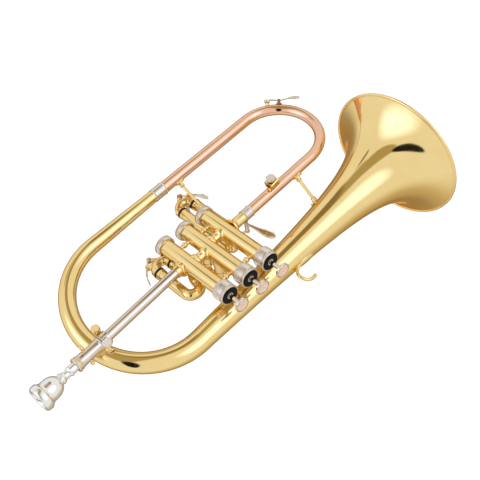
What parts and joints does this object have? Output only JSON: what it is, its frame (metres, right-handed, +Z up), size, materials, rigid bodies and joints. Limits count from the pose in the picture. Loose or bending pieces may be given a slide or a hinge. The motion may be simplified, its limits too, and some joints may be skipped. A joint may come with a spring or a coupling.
{
  "type": "flugelhorn",
  "caption": "Valved conical brass wind instrument: flared bell, copper front loop, three piston valves, pull slides, water keys and a funnel mouthpiece.",
  "frame": {"origin": "on the axis of valve 2, half way between the faces of its bottom and top caps", "axes": "+X towards the bell, square to the valves; +Y to the player's left; +Z up the valves to the finger buttons"},
  "size_m": [0.4645, 0.156, 0.2215],
  "materials": {
    "lacquered_brass": "clear lacquered, polished",
    "rose_copper": "lacquered rose brass, polished",
    "nickel_silver": "polished nickel silver",
    "silver_plate": "bright silver plate",
    "piston_monel": "honed",
    "pearl": "peach mother-of-pearl",
    "spring_steel": "drawn wire",
    "black_felt": "pressed felt",
    "black_rubber": "matt",
    "cork": "fine natural cork"
  },
  "bodies": {
    "valve_block": {"bell": "lacquered_brass", "bell_stem": "lacquered_brass", "bell_rim_wire": "lacquered_brass", "rear_bow": "lacquered_brass", "copper_loop": "rose_copper", "lower_ferrule": "nickel_silver", "upper_ferrule": "nickel_silver", "outlet_knuckle": "lacquered_brass", "valve_casing_1": "lacquered_brass", "valve_casing_2": "lacquered_brass", "valve_casing_3": "lacquered_brass", "bottom_caps": "nickel_silver", "top_cap_1": "nickel_silver", "top_cap_2": "nickel_silver", "top_cap_3": "nickel_silver", "cap_felts": "black_felt", "valve_spring_1": "spring_steel", "valve_spring_2": "spring_steel", "valve_spring_3": "spring_steel", "port_knuckles": "lacquered_brass", "casing_spacers": "lacquered_brass", "inlet_socket": "lacquered_brass", "leadpipe": "nickel_silver", "clamp_collar": "nickel_silver", "first_slide_tubes": "lacquered_brass", "second_slide_tubes": "lacquered_brass", "third_slide_tubes": "lacquered_brass", "braces": "lacquered_brass", "main_key_saddle": "lacquered_brass", "trigger_bracket": "lacquered_brass", "pinky_hook": "lacquered_brass", "lyre_holder": "lacquered_brass"},
    "valve_1": {"piston_1": "piston_monel", "valve_stem_1": "nickel_silver", "button_pearl_1": "pearl"},
    "valve_2": {"piston_2": "piston_monel", "valve_stem_2": "nickel_silver", "button_pearl_2": "pearl"},
    "valve_3": {"piston_3": "piston_monel", "valve_stem_3": "nickel_silver", "button_pearl_3": "pearl"},
    "first_slide": {"first_slide": "lacquered_brass", "first_slide_bumpers": "black_rubber", "first_key_saddle": "lacquered_brass"},
    "second_slide": {"second_slide": "lacquered_brass"},
    "third_slide": {"third_slide": "lacquered_brass", "third_slide_bumpers": "black_rubber", "third_key_saddle": "lacquered_brass", "trigger_link": "nickel_silver"},
    "mouthpipe": {"receiver": "nickel_silver"},
    "mouthpiece": {"mouthpiece": "silver_plate"},
    "main_key": {"main_key_lever": "nickel_silver", "main_key_cork": "cork"},
    "first_key": {"first_key_lever": "nickel_silver", "first_key_cork": "cork"},
    "third_key": {"third_key_lever": "nickel_silver", "third_key_cork": "cork"},
    "trigger": {"trigger_lever": "nickel_silver"},
    "clamp_screw": {"clamp_screw": "lacquered_brass"},
    "lyre_screw": {"lyre_screw": "nickel_silver"}
  },
  "joints": [
    {"name": "valve_1_press", "type": "slide", "parent": "valve_block", "child": "valve_1", "axis": [0, 0, -1], "range_m": [0, 0.0126], "stiffness_N_per_m": 90, "springref_m": -0.03, "deforming": ["valve_spring_1"]},
    {"name": "valve_2_press", "type": "slide", "parent": "valve_block", "child": "valve_2", "axis": [0, 0, -1], "range_m": [0, 0.0126], "stiffness_N_per_m": 90, "springref_m": -0.03, "deforming": ["valve_spring_2"]},
    {"name": "valve_3_press", "type": "slide", "parent": "valve_block", "child": "valve_3", "axis": [0, 0, -1], "range_m": [0, 0.0126], "stiffness_N_per_m": 90, "springref_m": -0.03, "deforming": ["valve_spring_3"]},
    {"name": "first_slide_pull", "type": "slide", "parent": "valve_block", "child": "first_slide", "axis": [0, 0, -1], "range_m": [0, 0.01]},
    {"name": "second_slide_pull", "type": "slide", "parent": "valve_block", "child": "second_slide", "axis": [0, -1, 0], "range_m": [0, 0.012]},
    {"name": "third_slide_pull", "type": "slide", "parent": "valve_block", "child": "third_slide", "axis": [0, 0, -1], "range_m": [0, 0.0099], "stiffness_N_per_m": 60, "springref_m": -0.03},
    {"name": "trigger_pull", "type": "hinge", "parent": "valve_block", "child": "trigger", "pos_m": [0.0555, -0.02, -0.018], "axis": [0, -1, 0], "range_deg": [0, 25.1]},
    {"name": "mouthpipe_pull", "type": "slide", "parent": "valve_block", "child": "mouthpipe", "axis": [-0.9954, 0, 0.0958], "range_m": [0, 0.02]},
    {"name": "mouthpiece_pull", "type": "slide", "parent": "mouthpipe", "child": "mouthpiece", "axis": [-0.9954, 0, 0.0958], "range_m": [0, 0.014]},
    {"name": "main_key_press", "type": "hinge", "parent": "valve_block", "child": "main_key", "pos_m": [0.19417, 0.01264, -0.10336], "axis": [0.4532, -0.7549, -0.4741], "range_deg": [0, 13], "stiffness_Nm_per_rad": 0.03, "springref_deg": -28.65},
    {"name": "first_key_press", "type": "hinge", "parent": "first_slide", "child": "first_key", "pos_m": [-0.04984, -0.0172, -0.05234], "axis": [0, 1, 0], "range_deg": [0, 12], "stiffness_Nm_per_rad": 0.03, "springref_deg": -28.65},
    {"name": "third_key_press", "type": "hinge", "parent": "third_slide", "child": "third_key", "pos_m": [0.04434, -0.0172, -0.09734], "axis": [0, -1, 0], "range_deg": [0, 12], "stiffness_Nm_per_rad": 0.03, "springref_deg": -28.65},
    {"name": "clamp_screw_turn", "type": "hinge", "parent": "valve_block", "child": "clamp_screw", "pos_m": [-0.13737, 0, -0.01073], "axis": [0, 1, 0], "range_deg": [0, 180]},
    {"name": "lyre_screw_turn", "type": "hinge", "parent": "valve_block", "child": "lyre_screw", "pos_m": [0.09704, 0.0107, -0.01711], "axis": [-0.1646, 0.9863, 0.0115], "range_deg": [0, 180]}
  ],
  "couplings": [
    {"joint": "trigger_pull", "follows": "third_slide_pull", "rad_per_m": 44.07}
  ]
}
